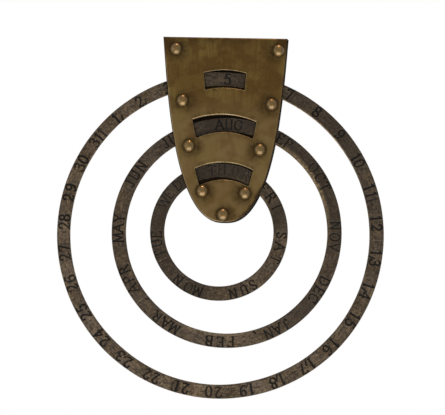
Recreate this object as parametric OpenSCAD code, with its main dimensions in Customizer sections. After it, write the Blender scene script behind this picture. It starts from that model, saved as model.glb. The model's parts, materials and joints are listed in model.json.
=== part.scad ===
// Perpetual calendar that hangs on a wall: three flat rings run in arc-walled
// channels between a riveted pair of shield-shaped plates, and show through
// three curved windows. Millimetres. +Z is up, the front faces -Y, the rear
// plate lies on the wall at Y = 0, and the origin is the centre of the keyhole's
// round entry hole.

/* [Plates] */
// Half width of the front plate across its top edge, left and right
plate_half_w = [48.0, 46.6]; // [44:0.1:58]
// How far each side draws in for every 100 mm down, left and right
side_draw = [8.4, 7.0]; // [0:0.1:12]
// How late the sides close in towards the tip: 2 is early, more is later
side_fullness = 3.2; // [2:0.1:4]
// Bluntness of the tip, left and right: 2 is an ellipse, more is squarer
tip_bluntness = [2.45, 2.55]; // [2:0.05:3.5]
// How far the rear plate was riveted off to the right and down
rear_shift = [0.8, -0.6]; // [-1:0.1:1]
// Thickness of the front plate
front_t = 2.5; // [2:0.1:5]
// Thickness of the rear plate
rear_t = 2.5; // [2:0.1:5]
// Chamfer round the front plate's face
edge_chamfer = 0.8; // [0.2:0.1:1.5]
// How far the spacers stand back from the edge of the plates
spacer_inset = 1; // [0.8:0.1:2]

/* [Rings] */
// Outer diameter of the date ring
date_ring_d = 248.8; // [236:0.2:310]
// Outer diameter of the month ring
month_ring_d = 175.2; // [146:0.2:190]
// Outer diameter of the weekday ring
weekday_ring_d = 105; // [96:1:120]
// Width of the flat bar that each ring is bent from
ring_w = 11; // [8:0.5:14]
// Thickness of that bar
ring_t = 3; // [2:0.1:5]
// Chamfer along the bar's four edges
ring_chamfer = 0.4; // [0.1:0.1:0.9]
// Sideways place of the date ring's centre, as hung
date_sway = -2.0; // [-4:0.1:4]
// Sideways place of the month ring's centre, as hung
month_sway = 2.7; // [-4:0.1:4]
// Sideways place of the weekday ring's centre, as hung
weekday_sway = -3.2; // [-4:0.1:4]

/* [Layout down the plate] */
// Metal above the date ring
top_margin = 25.9; // [22:0.1:40]
// Metal between the date ring and the month ring
date_land = 23.9; // [18:0.1:40]
// Metal between the month ring and the weekday ring
month_land = 23.4; // [18:0.1:40]
// Metal below the weekday ring, down to the tip
tip_l = 34.2; // [28:0.1:50]

/* [Running clearances] */
// Play between a ring and each plate
face_play = 0.3; // [0.1:0.05:0.6]
// Gap between a ring and the arc that it hangs on
seat_gap = 0.3; // [0.1:0.05:0.6]
// Gap between a ring and the arc above it, room for a bar bent round by hand
crown_gap = 2.8; // [0.5:0.1:3.5]

/* [Windows] */
// Width of the date, month and weekday windows, halfway down their ends
window_w = [30.3, 45.2, 40.2]; // [20:0.1:48]
// Height of each window at its middle
window_h = [12.7, 12.5, 12.3]; // [9:0.1:13]
// How far each window's top stands above its ring
window_rise = [1.0, 1.9, 0.0]; // [0:0.1:3]
// Radius of each window's top arc
window_top_r = [59.4, 65.7, 48.5]; // [40:0.1:130]
// Radius of each window's low arc
window_low_r = [63.9, 50.8, 37.7]; // [30:0.1:130]
// Sideways place of each window's ends and low arc
window_sway = [-0.6, -0.3, -0.1]; // [-3:0.1:3]
// Sideways place of each window's top arc
window_crown_sway = [-0.7, -2.0, -0.9]; // [-3:0.1:3]
// Slant of each window's ends
window_slant = [4.4, 12, 15.4]; // [0:0.1:20]
// Bevel along the top of a window
top_bevel = 1.4; // [0.4:0.1:1.9]
// Bevel along the bottom of a window
low_bevel = 0.8; // [0.7:0.1:1.6]
// Bevel along the ends of a window
end_bevel = 0.55; // [0.25:0.1:0.65]

/* [Rivets] */
// Diameter of a rivet's domed head
rivet_head_d = 9.3; // [7:0.1:11]
// Height of the head
rivet_head_h = 3.4; // [2:0.1:4.5]
// Diameter of the shank
rivet_shank_d = 4; // [3:0.1:4.5]
// Diameter of the tail, hammered flush into the rear plate
rivet_tail_d = 6.8; // [5.5:0.1:8]
// Depth of the countersink that the tail fills
rivet_tail_h = 1.4; // [0.8:0.1:1.8]
// Gap between a rivet and its holes
rivet_gap = 0.05; // [0.02:0.01:0.2]
// Top row: distance in from the plate's side, left and right
top_rivet_inset = [9.0, 6.3]; // [6:0.1:14]
// Top row: distance below the top edge
top_rivet_drop = 9.0; // [6:0.1:12]
// Row below the date window: distance in from the side, left and right
date_rivet_inset = [11.9, 8.7]; // [7:0.1:14]
// Row below the date window: distance below the ring, left and right
date_rivet_drop = [6.7, 6.4]; // [4:0.1:8]
// Row below the month window: distance in from the side, left and right
month_rivet_inset = [12.7, 12.9]; // [8:0.1:15]
// Row below the month window: distance below the ring, left and right
month_rivet_drop = [4.2, 8.4]; // [4:0.1:9]
// Row below the weekday window: distance in from the side, left and right
tip_rivet_inset = [14.9, 15.9]; // [12:0.1:18]
// Row below the weekday window: distance below the ring, left and right
tip_rivet_drop = [7.7, 6.1]; // [6:0.1:9]
// Lowest rivet: distance above the tip
tip_rivet_rise = 6.1; // [5.5:0.1:10]
// Lowest rivet: sideways place
tip_rivet_sway = -0.6; // [-4:0.1:4]

/* [Keyhole] */
// Distance of the entry hole's centre below the top edge
keyhole_drop = 16.1; // [15:0.1:18]
// Diameter of the entry hole, for the head of a wall screw
entry_d = 8; // [6:0.1:9]
// Width of the slot, for the screw's shank
slot_w = 4.4; // [3:0.1:5.5]
// Rise from the entry hole to the slot's rounded end
slot_rise = 7; // [5:0.1:7.5]
// Room round the screw's head behind the rear plate
head_room = 0.6; // [0.2:0.1:1.2]

/* [Hidden] */

$fn = 128;
curve_steps = 40;
overcut = 1;

plate_brass = [0.42, 0.34, 0.19];
rivet_brass = [0.62, 0.48, 0.27];
ring_bronze = [0.27, 0.23, 0.19];

// Heights above the wall, with the calendar laid on its back.
channel_t = ring_t + 2 * face_play;
front_z = rear_t + channel_t;
face_z = front_z + front_t;

// Heights up the plate.
top_y = keyhole_drop;
date_crown = top_y - top_margin;
month_crown = date_crown - ring_w - date_land;
weekday_crown = month_crown - ring_w - month_land;
plate_h = top_margin + 3 * ring_w + date_land + month_land + tip_l;

// Each ring as [outer radius, centre across, centre up].
date = [date_ring_d / 2, date_sway, date_crown - date_ring_d / 2];
month = [month_ring_d / 2, month_sway, month_crown - month_ring_d / 2];
weekday = [weekday_ring_d / 2, weekday_sway, weekday_crown - weekday_ring_d / 2];

function inner_r(ring) = ring[0] - ring_w;
function crown_y(ring) = ring[2] + ring[0];

// Half the plate's width at a depth below the top edge: a straight taper times
// a superellipse that closes it in to the tip. Side is -1 for left, 1 for right.
function half_width(depth, side) =
    let (k = side < 0 ? 0 : 1)
    (plate_half_w[k] - side_draw[k] * depth / 100)
        * pow(1 - pow(depth / plate_h, side_fullness), 1 / tip_bluntness[k]);

// Each side in even steps of angle from the top edge to the tip.
function side_depth(i) = plate_h * sin(90 * i / curve_steps);
function side_point(i, side) = [side * half_width(side_depth(i), side), top_y - side_depth(i)];
outline = concat(
    [for (i = [0:curve_steps - 1]) side_point(i, 1)],
    [[0, top_y - plate_h]],
    [for (i = [curve_steps - 1:-1:0]) side_point(i, -1)]
);

// Where a rivet of the row below a ring stands; side is -1 for left, 1 for right.
function row_x(ring, inset, side) =
    side * (half_width(top_y - crown_y(ring) + ring_w, side) - inset);
function row_y(ring, x, drop) = ring[2] + sqrt(pow(inner_r(ring) - drop, 2) - pow(x - ring[1], 2));
function row_place(ring, insets, drops, side) =
    let (k = side < 0 ? 0 : 1, x = row_x(ring, insets[k], side))
    [x, row_y(ring, x, drops[k])];
function top_place(side) =
    let (inset = top_rivet_inset[side < 0 ? 0 : 1])
    [side * (half_width(top_rivet_drop, side) - inset), top_y - top_rivet_drop];

top_places = [for (side = [-1, 1]) top_place(side)];
date_places = [for (side = [-1, 1]) row_place(date, date_rivet_inset, date_rivet_drop, side)];
month_places = [for (side = [-1, 1]) row_place(month, month_rivet_inset, month_rivet_drop, side)];
tip_places = [for (side = [-1, 1]) row_place(weekday, tip_rivet_inset, tip_rivet_drop, side)];
tip_place = [tip_rivet_sway, top_y - plate_h + tip_rivet_rise];
lowest_places = concat(tip_places, [tip_place]);
all_places = concat(top_places, date_places, month_places, lowest_places);

// Stands up what is drawn lying on its back.
module hung() {
    rotate([90, 0, 0]) children();
}

module at(place) {
    translate([place[0], place[1], 0]) children();
}

module at_centre(ring) {
    at([ring[1], ring[2]]) children();
}

// Straight-walled sheet of the plates' outline.
module sheet(z, thickness) {
    translate([0, 0, z]) linear_extrude(thickness) polygon(outline);
}

// The same sheet drawn in by an inset, for the spacers.
module inset_sheet(z, thickness) {
    translate([0, 0, z]) linear_extrude(thickness) offset(delta = -spacer_inset) polygon(outline);
}

module rivet_holes(places) {
    for (place = places)
        at(place) translate([0, 0, -overcut])
            cylinder(h = face_z + 2 * overcut, d = rivet_shank_d + 2 * rivet_gap);
}

// Countersinks that clear the rivets' tails all round, run on past the rear face.
module countersinks(places) {
    slope = (rivet_tail_d - rivet_shank_d) / 2 / (rivet_tail_h - rivet_gap);
    for (place = places)
        at(place) translate([0, 0, -overcut])
            cylinder(
                h = rivet_tail_h + overcut,
                d1 = rivet_tail_d + 2 * (rivet_gap + slope * (rivet_gap + overcut)),
                d2 = rivet_shank_d + 2 * rivet_gap
            );
}

// Disc under a window's top arc, flared where it meets the face.
module under_top_arc(radius) {
    rotate_extrude()
        polygon([
            [0, front_z - overcut],
            [radius, front_z - overcut],
            [radius, face_z - top_bevel],
            [radius + top_bevel + overcut, face_z + overcut],
            [0, face_z + overcut]
        ]);
}

// Disc under a window's low arc, drawn in where it meets the face.
module under_low_arc(radius) {
    rotate_extrude()
        polygon([
            [0, front_z - 2 * overcut],
            [radius, front_z - 2 * overcut],
            [radius, face_z - low_bevel],
            [radius - low_bevel - 2 * overcut, face_z + 2 * overcut],
            [0, face_z + 2 * overcut]
        ]);
}

// All that lies on the window's side of its right-hand end, bevelled at the face.
module short_of_end(half_w, slant) {
    reach = 2 * half_w;
    translate([half_w, 0, 0]) rotate([0, 0, -slant]) translate([0, reach, 0]) rotate([90, 0, 0])
        linear_extrude(2 * reach)
            polygon([
                [-reach, front_z - 2 * overcut],
                [0, front_z - 2 * overcut],
                [0, face_z - end_bevel],
                [end_bevel + 2 * overcut, face_z + 2 * overcut],
                [-reach, face_z + 2 * overcut]
            ]);
}

// Height of the middle of window k's ends: the mean of its two arcs there.
function end_y(ring, k) =
    crown_y(ring) + window_rise[k] - window_h[k] / 2 - pow(window_w[k] / 2, 2) / 4
        * (1 / window_top_r[k] + 1 / window_low_r[k]);

// Window k: 0 shows the date, 1 the month, 2 the weekday.
module window(ring, k) {
    crown = crown_y(ring) + window_rise[k];
    intersection() {
        difference() {
            at([window_crown_sway[k], crown - window_top_r[k]]) under_top_arc(window_top_r[k]);
            at([window_sway[k], crown - window_h[k] - window_low_r[k]])
                under_low_arc(window_low_r[k]);
        }
        at([window_sway[k], end_y(ring, k)]) short_of_end(window_w[k] / 2, window_slant[k]);
        at([window_sway[k], end_y(ring, k)]) mirror([1, 0, 0])
            short_of_end(window_w[k] / 2, window_slant[k]);
    }
}

module front_plate() {
    color(plate_brass) hung() difference() {
        hull() {
            sheet(front_z, front_t - edge_chamfer);
            translate([0, 0, front_z]) linear_extrude(front_t)
                offset(delta = -edge_chamfer) polygon(outline);
        }
        window(date, 0);
        window(month, 1);
        window(weekday, 2);
        rivet_holes(all_places);
    }
}

// Entry hole and slot for a wall screw, widened by a margin on every side.
module keyhole(z, depth, margin) {
    translate([0, 0, z]) {
        cylinder(h = depth, d = entry_d + 2 * margin);
        translate([0, slot_rise, 0]) cylinder(h = depth, d = slot_w + 2 * margin);
        translate([-slot_w / 2 - margin, 0, 0]) cube([slot_w + 2 * margin, slot_rise, depth]);
    }
}

module back_plate() {
    color(plate_brass) hung() difference() {
        at(rear_shift) sheet(0, rear_t);
        keyhole(-overcut, rear_t + 2 * overcut, 0);
        rivet_holes(all_places);
        countersinks(all_places);
    }
}

// Everything inside the arc that a ring hangs on.
module below_ring(ring) {
    at_centre(ring) translate([0, 0, rear_t]) cylinder(h = channel_t, r = inner_r(ring) - seat_gap);
}

// Everything inside the arc over a ring.
module under_crown(ring) {
    at_centre(ring) translate([0, 0, rear_t - overcut])
        cylinder(h = channel_t + 2 * overcut, r = ring[0] + crown_gap);
}

// Pocket behind the keyhole, as wide as the screw's head all the way up.
module head_pocket() {
    width = entry_d + 2 * head_room;
    translate([0, 0, rear_t - overcut]) {
        cylinder(h = channel_t + 2 * overcut, d = width);
        translate([-width / 2, 0, 0])
            cube([width, slot_rise + width / 2, channel_t + 2 * overcut]);
    }
}

module top_spacer() {
    color(plate_brass) hung() difference() {
        inset_sheet(rear_t, channel_t);
        under_crown(date);
        head_pocket();
        rivet_holes(top_places);
    }
}

module upper_spacer() {
    color(plate_brass) hung() difference() {
        intersection() {
            inset_sheet(rear_t, channel_t);
            below_ring(date);
        }
        under_crown(month);
        rivet_holes(date_places);
    }
}

module lower_spacer() {
    color(plate_brass) hung() difference() {
        intersection() {
            inset_sheet(rear_t, channel_t);
            below_ring(month);
        }
        under_crown(weekday);
        rivet_holes(month_places);
    }
}

module tip_spacer() {
    color(plate_brass) hung() difference() {
        intersection() {
            inset_sheet(rear_t, channel_t);
            below_ring(weekday);
        }
        rivet_holes(lowest_places);
    }
}

// A flat bar bent into a ring, its four edges eased.
module bar_ring(ring) {
    low_r = inner_r(ring);
    high_r = ring[0];
    c = ring_chamfer;
    color(ring_bronze) hung() at_centre(ring) translate([0, 0, rear_t + face_play])
        rotate_extrude()
            polygon([
                [low_r + c, 0], [high_r - c, 0], [high_r, c], [high_r, ring_t - c],
                [high_r - c, ring_t], [low_r + c, ring_t], [low_r, ring_t - c], [low_r, c]
            ]);
}

module date_ring() {
    bar_ring(date);
}

module month_ring() {
    bar_ring(month);
}

module weekday_ring() {
    bar_ring(weekday);
}

// Domed head on the face, shank through the sandwich, tail filling its countersink.
module rivet(place) {
    head_r = rivet_head_d / 2;
    dome_r = (pow(head_r, 2) + pow(rivet_head_h, 2)) / (2 * rivet_head_h);
    color(rivet_brass) hung() at(place) {
        intersection() {
            translate([0, 0, face_z + rivet_head_h - dome_r]) sphere(r = dome_r);
            translate([0, 0, face_z]) cylinder(h = rivet_head_h, r = head_r);
        }
        translate([0, 0, rivet_gap]) cylinder(h = face_z - rivet_gap, d = rivet_shank_d);
        translate([0, 0, rivet_gap])
            cylinder(h = rivet_tail_h - rivet_gap, d1 = rivet_tail_d, d2 = rivet_shank_d);
    }
}

module rivet_top_left() {
    rivet(top_places[0]);
}

module rivet_top_right() {
    rivet(top_places[1]);
}

module rivet_date_left() {
    rivet(date_places[0]);
}

module rivet_date_right() {
    rivet(date_places[1]);
}

module rivet_month_left() {
    rivet(month_places[0]);
}

module rivet_month_right() {
    rivet(month_places[1]);
}

module rivet_tip_left() {
    rivet(tip_places[0]);
}

module rivet_tip_right() {
    rivet(tip_places[1]);
}

module rivet_tip() {
    rivet(tip_place);
}

front_plate();
back_plate();
top_spacer();
upper_spacer();
lower_spacer();
tip_spacer();
date_ring();
month_ring();
weekday_ring();
rivet_top_left();
rivet_top_right();
rivet_date_left();
rivet_date_right();
rivet_month_left();
rivet_month_right();
rivet_tip_left();
rivet_tip_right();
rivet_tip();
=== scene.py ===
import json
import math

import bpy
import numpy as np
from mathutils import Matrix, Vector, geometry


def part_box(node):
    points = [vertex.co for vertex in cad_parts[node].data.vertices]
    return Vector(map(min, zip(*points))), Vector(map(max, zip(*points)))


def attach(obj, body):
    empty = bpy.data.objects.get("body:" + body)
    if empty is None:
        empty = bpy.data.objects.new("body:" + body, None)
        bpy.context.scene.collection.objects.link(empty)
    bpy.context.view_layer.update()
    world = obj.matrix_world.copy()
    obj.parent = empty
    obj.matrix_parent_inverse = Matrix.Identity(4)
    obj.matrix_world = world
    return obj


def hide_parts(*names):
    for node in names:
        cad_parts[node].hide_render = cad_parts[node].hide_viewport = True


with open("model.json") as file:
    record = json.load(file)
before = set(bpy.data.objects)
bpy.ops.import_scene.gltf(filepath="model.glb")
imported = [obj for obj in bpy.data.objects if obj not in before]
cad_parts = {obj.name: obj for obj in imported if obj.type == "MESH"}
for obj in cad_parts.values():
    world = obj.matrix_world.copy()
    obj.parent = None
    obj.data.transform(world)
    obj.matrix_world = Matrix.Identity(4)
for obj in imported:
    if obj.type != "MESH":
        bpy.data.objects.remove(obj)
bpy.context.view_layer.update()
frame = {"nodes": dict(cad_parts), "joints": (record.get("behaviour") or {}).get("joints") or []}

mm = 0.001
hingePlace = {joint["child"]: np.array(joint["pos_m"]) / mm for joint in frame["joints"]}


def nodeBox(name):
    # lowest and highest corner of a CAD node, in millimetres
    low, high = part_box(name)
    return np.array(low) / mm, np.array(high) / mm


camera = {
    "distance": 2400.0,  # a long lens, square on
    "aimX": -0.8,
    "aimZ": -112.97,
    "seenWidth": 338.2,  # width of the picture at the plate's face
    "roll": 1.0,  # degrees; the object hangs turned clockwise in the picture
    "sensor": 36.0,
}


def makeCamera():
    # right and up are the plate's own axes turned by the roll; the camera looks along +Y
    faceY = nodeBox("front_plate")[0][1]
    data = bpy.data.cameras.new("camera")
    data.sensor_fit = "HORIZONTAL"
    data.sensor_width = camera["sensor"]
    data.lens = camera["sensor"] * camera["distance"] / camera["seenWidth"]
    turn = math.radians(camera["roll"])
    right = Vector((math.cos(turn), 0, math.sin(turn)))
    up = Vector((-math.sin(turn), 0, math.cos(turn)))
    back = Vector((0, -1, 0))
    rows = Matrix((right, up, back)).transposed().to_4x4()
    place = Vector((camera["aimX"], faceY - camera["distance"], camera["aimZ"])) * mm
    made = bpy.data.objects.new("camera", data)
    made.matrix_world = Matrix.Translation(place) @ rows
    bpy.context.scene.collection.objects.link(made)
    bpy.context.scene.camera = made


studio = {
    "ambient": 0.55,  # what the white room gives to matte surfaces
    "lamps": [
        # name, place in m, width and depth in m, watts, colour
        ("lowSoftbox", (0.05, -0.50, -0.97), (1.3, 1.05), 19.0, (1.0, 0.98, 0.95)),
        ("sideSoftbox", (-1.10, -0.80, -0.20), (0.8, 0.8), 2.5, (1.0, 0.98, 0.95)),
        ("warmLamp", (0.12, -0.08, 1.20), (0.15, 0.15), 8.5, (1.0, 0.64, 0.36)),
    ],
    "aim": (0.0, 0.0, -0.12),
    "floorZ": -2.6,
    "floorHalf": 3.0,
    "floorSteps": 24,
    "floorColors": ((0.82, 0.82, 0.81, 1), (0.86, 0.86, 0.85, 1)),
    "floorGrain": 3.0,
    "floorFade": (0.5, 1.2),  # the floor runs out into the white room between these distances, m
}


def makeLamps():
    for name, place, size, watts, color in studio["lamps"]:
        data = bpy.data.lights.new(name, "AREA")
        data.shape = "RECTANGLE"
        data.size, data.size_y = size
        data.energy = watts
        data.color = color
        lamp = bpy.data.objects.new(name, data)
        lamp.location = place
        lamp.visible_camera = False
        aim = Vector(studio["aim"]) - Vector(place)
        lamp.rotation_euler = aim.to_track_quat("-Z", "Y").to_euler()
        bpy.context.scene.collection.objects.link(lamp)


def addNode(tree, kind, inputs=None, **settings):
    # one node; an input is either a value or another node's output socket
    made = tree.nodes.new("ShaderNode" + kind)
    for key, value in settings.items():
        setattr(made, key, value)
    for key, value in (inputs or {}).items():
        if isinstance(value, bpy.types.NodeSocket):
            tree.links.new(value, made.inputs[key])
        else:
            made.inputs[key].default_value = value
    return made


def seesBackground(tree):
    # 1 for rays from the camera, from gloss and through glass, 0 for the rest
    path = addNode(tree, "LightPath")
    first = addNode(tree, "Math", {0: path.outputs["Is Camera Ray"], 1: path.outputs["Is Glossy Ray"]},
                    operation="MAXIMUM")
    return addNode(tree, "Math", {0: first.outputs[0], 1: path.outputs["Is Transmission Ray"]},
                   operation="MAXIMUM").outputs[0]


def makeWorld():
    # a white room at strength 1 where it is seen, and a plain level of light elsewhere
    world = bpy.data.worlds.new("studioWorld")
    world.use_nodes = True
    tree = world.node_tree
    tree.nodes.clear()
    room = addNode(tree, "Background", {"Color": (1, 1, 1, 1), "Strength": studio["ambient"]})
    seen = addNode(tree, "Background", {"Color": (1, 1, 1, 1), "Strength": 1.0})
    either = addNode(tree, "MixShader", {0: seesBackground(tree), 1: room.outputs[0], 2: seen.outputs[0]})
    addNode(tree, "OutputWorld", {"Surface": either.outputs[0]})
    bpy.context.scene.world = world
    bpy.context.scene.view_settings.view_transform = "Standard"


def makeFloor():
    # a flat square grid, pale and matte in the middle, and white like the room towards its edge
    steps = studio["floorSteps"]
    side = np.linspace(-studio["floorHalf"], studio["floorHalf"], steps)
    x, y = np.meshgrid(side, side, indexing="ij")
    points = np.stack([x, y, np.full_like(x, studio["floorZ"])], -1).reshape(-1, 3)
    index = np.arange(steps * steps).reshape(steps, steps)
    faces = np.stack([index[:-1, :-1], index[1:, :-1], index[1:, 1:], index[:-1, 1:]], -1).reshape(-1, 4)
    mesh = bpy.data.meshes.new("floor")
    mesh.from_pydata(points.tolist(), [], faces.tolist())
    floor = bpy.data.objects.new("floor", mesh)
    bpy.context.scene.collection.objects.link(floor)
    material, tree, place = newMaterial("paleFloor")
    grain = noiseAt(tree, place, studio["floorGrain"], 4.0, 0.5)
    tone = mixed(tree, grain, *studio["floorColors"])
    matte = addNode(tree, "BsdfDiffuse", {"Color": tone, "Roughness": 0.5})
    white = addNode(tree, "Emission", {"Color": (1, 1, 1, 1), "Strength": 1.0})
    flat = addNode(tree, "VectorMath", {0: place, 1: (1, 1, 0)}, operation="MULTIPLY")
    away = addNode(tree, "VectorMath", {0: flat.outputs[0]}, operation="LENGTH").outputs["Value"]
    share = product(tree, ramp(tree, away, *studio["floorFade"]), seesBackground(tree))
    either = addNode(tree, "MixShader", {0: share, 1: matte.outputs[0], 2: white.outputs[0]})
    addNode(tree, "OutputMaterial", {"Surface": either.outputs[0]})
    mesh.materials.append(material)


def newMaterial(name):
    # an empty node tree and the socket of the object's own coordinates
    material = bpy.data.materials.new(name)
    material.use_nodes = True
    tree = material.node_tree
    tree.nodes.clear()
    return material, tree, addNode(tree, "TexCoord").outputs["Object"]


def noiseAt(tree, place, scale, detail, rough, stretch=(1, 1, 1), shift=(0, 0, 0)):
    # noise from 0 to 1 over the given coordinates, stretched along chosen axes
    put = addNode(tree, "Mapping", {"Vector": place, "Location": shift, "Scale": stretch})
    return addNode(tree, "TexNoise", {"Vector": put.outputs[0], "Scale": scale, "Detail": detail,
                                      "Roughness": rough}).outputs["Fac"]


def ramp(tree, value, low, high, outLow=0.0, outHigh=1.0):
    # value taken from low..high to outLow..outHigh, held at both ends, eased between
    return addNode(tree, "MapRange", {"Value": value, "From Min": low, "From Max": high, "To Min": outLow,
                                      "To Max": outHigh}, interpolation_type="SMOOTHSTEP").outputs[0]


def mixed(tree, share, first, second):
    # two colours mixed by a share from 0 to 1
    return addNode(tree, "Mix", {0: share, 6: first, 7: second}, data_type="RGBA").outputs[2]


def product(tree, first, second, kind="MULTIPLY"):
    # the product of two values, or what another kind of sum makes of them
    return addNode(tree, "Math", {0: first, 1: second}, operation=kind).outputs[0]


def attribute(tree, name):
    return addNode(tree, "Attribute", attribute_name=name).outputs["Fac"]


plateFinish = {
    "brass": (0.090, 0.0515, 0.0135, 1),
    "umber": (0.064, 0.0335, 0.0085, 1),
    "gold": (0.120, 0.0775, 0.0215, 1),
    "pale": (0.140, 0.094, 0.038, 1),
    "dark": (0.0070, 0.0040, 0.0018, 1),
    "wornAndHighlight": (0.27, 0.215, 0.140, 1),
    # satin brass with golden and brown clouds, and faint upright streaks
    "noises": {
        # scale, detail, roughness, stretch, shift
        "broad": (30.0, 2.0, 0.55, (1.5, 1.0, 1.0), (0.31, 0.1, 0.27)),
        "cloud": (85.0, 3.0, 0.6, (1, 1, 1), (0.7, 0.4, 0.9)),
        "streak": (150.0, 3.0, 0.6, (2.6, 1.0, 0.22)),
        "fine": (900.0, 3.0, 0.6),
    },
    "base": "brass",
    "layers": [
        # noise, its values where the colour starts and is full, how much it then covers, colour
        ("broad", 0.40, 0.60, 1.0, "gold"),
        ("cloud", 0.44, 0.62, 1.0, "umber"),
        ("streak", 0.46, 0.70, 0.65, "umber"),
        ("fine", 0.3, 0.7, 0.20, "gold"),
    ],
    # attribute of the piece, how much it covers, colour: painted light, grime and painted shade, wear and
    # painted highlight
    "marks": [("lit", 1.0, "pale"), ("grime", 1.0, "dark"), ("wear", 1.0, "wornAndHighlight")],
    "rough": ("cloud", 0.3, 0.75, 0.36, 0.50),  # noise, two of its values, the roughness at each
    "relief": [("streak", 0.6), ("fine", 0.4)],
    "bump": 0.00006,
    "metallic": 0.9,
    "specular": 0.3,
    "coat": 0.0,
    "coatRoughness": 0.2,
}

# the same brass nearly black between the plates as patina and painted shade, with a little brown left in
# patches
spacerFinish = dict(
    plateFinish,
    noises={"cloud": (160.0, 3.0, 0.6), "fine": (900.0, 3.0, 0.6)},
    base="dark",
    layers=[("cloud", 0.45, 0.75, 0.25, "umber")],
    marks=[],
    rough=("cloud", 0.3, 0.75, 0.5, 0.65),
    relief=[("fine", 1.0)],
)

ringFinish = {
    "brown": (0.056, 0.0370, 0.0200, 1),
    "deep": (0.0150, 0.0100, 0.0060, 1),
    "grey": (0.088, 0.066, 0.047, 1),
    "tan": (0.180, 0.128, 0.070, 1),
    "cut": (0.0040, 0.0028, 0.0018, 1),
    "rubbed": (0.26, 0.185, 0.10, 1),
    # oxidised bronze, brushed round the ring and mottled, with grey and tan patches
    "noises": {
        "patch": (38.0, 3.0, 0.6, (1, 1, 1), (0.17, 0.0, 0.43)),
        "tint": (95.0, 4.0, 0.6, (1, 1, 1), (0.5, 0.2, 0.1)),
        "mottle": (520.0, 4.0, 0.7),
    },
    "brushed": (1.1, 3.0, 0.65),
    "brushTurn": 12.0,  # mm of noise to one radian round the ring: less gives longer brush marks
    "pitScale": 780.0,
    "base": "brown",
    "layers": [
        ("patch", 0.38, 0.66, 1.0, "grey"),
        ("tint", 0.50, 0.72, 0.6, "tan"),
        ("tint", 0.46, 0.28, 0.7, "deep"),
        ("brushed", 0.50, 0.34, 0.7, "deep"),
        ("brushed", 0.54, 0.70, 0.6, "tan"),
        ("mottle", 0.50, 0.36, 0.9, "deep"),
        ("mottle", 0.54, 0.68, 0.75, "tan"),
    ],
    "marks": [
        # shade darkens towards deep, in places as painted shade
        ("shade", 0.8, "deep"),
        ("soot", 0.65, "cut"),
        ("wear", 1.0, "rubbed"),
        ("recess", 1.0, "cut"),
    ],
    "rough": ("mottle", 0.3, 0.7, 0.62, 0.46),
    "relief": [("mottle", 1.0), ("pits", 0.55)],
    "bump": 0.00022,
    "metallic": 0.35,
    "specular": 0.2,
    "coat": 0.0,
    "coatRoughness": 0.2,
}

rivetFinish = {
    "bright": (0.114, 0.062, 0.006, 1),
    "dull": (0.084, 0.048, 0.006, 1),
    "dark": (0.016, 0.009, 0.004, 1),
    # brass rubbed on the dome and dull in soft patches, under a thin lacquer
    "noises": {"cloud": (260.0, 4.0, 0.6), "fine": (1500.0, 3.0, 0.6)},
    "base": "bright",
    "layers": [("cloud", 0.42, 0.68, 1.0, "dull"), ("fine", 0.55, 0.75, 0.3, "dull")],
    # the dark mark is grime and painted shade round the rim and on hidden surfaces
    "marks": [("grime", 1.0, "dark")],
    "rough": ("cloud", 0.3, 0.7, 0.42, 0.54),
    "relief": [("fine", 1.0)],
    "bump": 0.00003,
    "metallic": 1.0,
    "specular": 0.5,
    "coat": 0.80,
    "coatRoughness": 0.20,
}


def makeFinish(name, look):
    # colours lie over each other, first where a noise puts them, then where the piece's own marks do;
    # what is the same all over is set on the shader itself
    material, tree, place = newMaterial(name)
    noises = {key: noiseAt(tree, place, *numbers) for key, numbers in look["noises"].items()}
    if "brushed" in look:
        lay = addNode(tree, "CombineXYZ", {
            "X": attribute(tree, "across"),
            "Y": product(tree, attribute(tree, "sine"), look["brushTurn"]),
            "Z": product(tree, attribute(tree, "cosine"), look["brushTurn"]),
        })
        noises["brushed"] = noiseAt(tree, lay.outputs[0], *look["brushed"])
        pits = addNode(tree, "TexVoronoi", {"Vector": place, "Scale": look["pitScale"]},
                       feature="SMOOTH_F1")
        noises["pits"] = pits.outputs["Distance"]
    color = look[look["base"]]
    for key, start, full, most, tone in look["layers"]:
        color = mixed(tree, ramp(tree, noises[key], start, full, 0.0, most), color, look[tone])
    for key, most, tone in look["marks"]:
        color = mixed(tree, product(tree, attribute(tree, key), most), color, look[tone])
    height = 0.0
    for key, amount in look["relief"]:
        height = product(tree, product(tree, noises[key], amount), height, "ADD")
    bump = addNode(tree, "Bump", {"Height": height, "Distance": look["bump"], "Strength": 1.0})
    key, *numbers = look["rough"]
    shader = addNode(tree, "BsdfPrincipled", {
        "Base Color": color,
        "Roughness": ramp(tree, noises[key], *numbers),
        "Metallic": look["metallic"],
        "Specular IOR Level": look["specular"],
        "Coat Weight": look["coat"],
        "Coat Roughness": look["coatRoughness"],
        "Normal": bump.outputs[0],
    })
    addNode(tree, "OutputMaterial", {"Surface": shader.outputs[0]})
    return material


def addPiece(node, ending, points, faceSets, body, material, fields):
    # points in millimetres; each face set is an (m, 3) or (m, 4) array wound to face outwards
    name = node + "_" + ending
    mesh = bpy.data.meshes.new(name)
    mesh.vertices.add(len(points))
    mesh.vertices.foreach_set("co", (points * mm).astype(np.float32).ravel())
    corners = np.concatenate([faces.ravel() for faces in faceSets])
    sizes = np.concatenate([np.full(len(faces), faces.shape[1]) for faces in faceSets])
    mesh.loops.add(len(corners))
    mesh.loops.foreach_set("vertex_index", corners.astype(np.int32))
    mesh.polygons.add(len(sizes))
    mesh.polygons.foreach_set("loop_start", (np.cumsum(sizes) - sizes).astype(np.int32))
    mesh.update(calc_edges=True)
    mesh.validate()
    mesh.shade_smooth()
    for key, values in fields.items():
        attached = mesh.attributes.new(key, "FLOAT", "POINT")
        attached.data.foreach_set("value", values.astype(np.float32).ravel())
    mesh.materials.append(material)
    piece = bpy.data.objects.new(name, mesh)
    bpy.context.scene.collection.objects.link(piece)
    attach(piece, body)
    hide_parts(node)
    print(name, "has", int((sizes - 2).sum()), "triangles")


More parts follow.
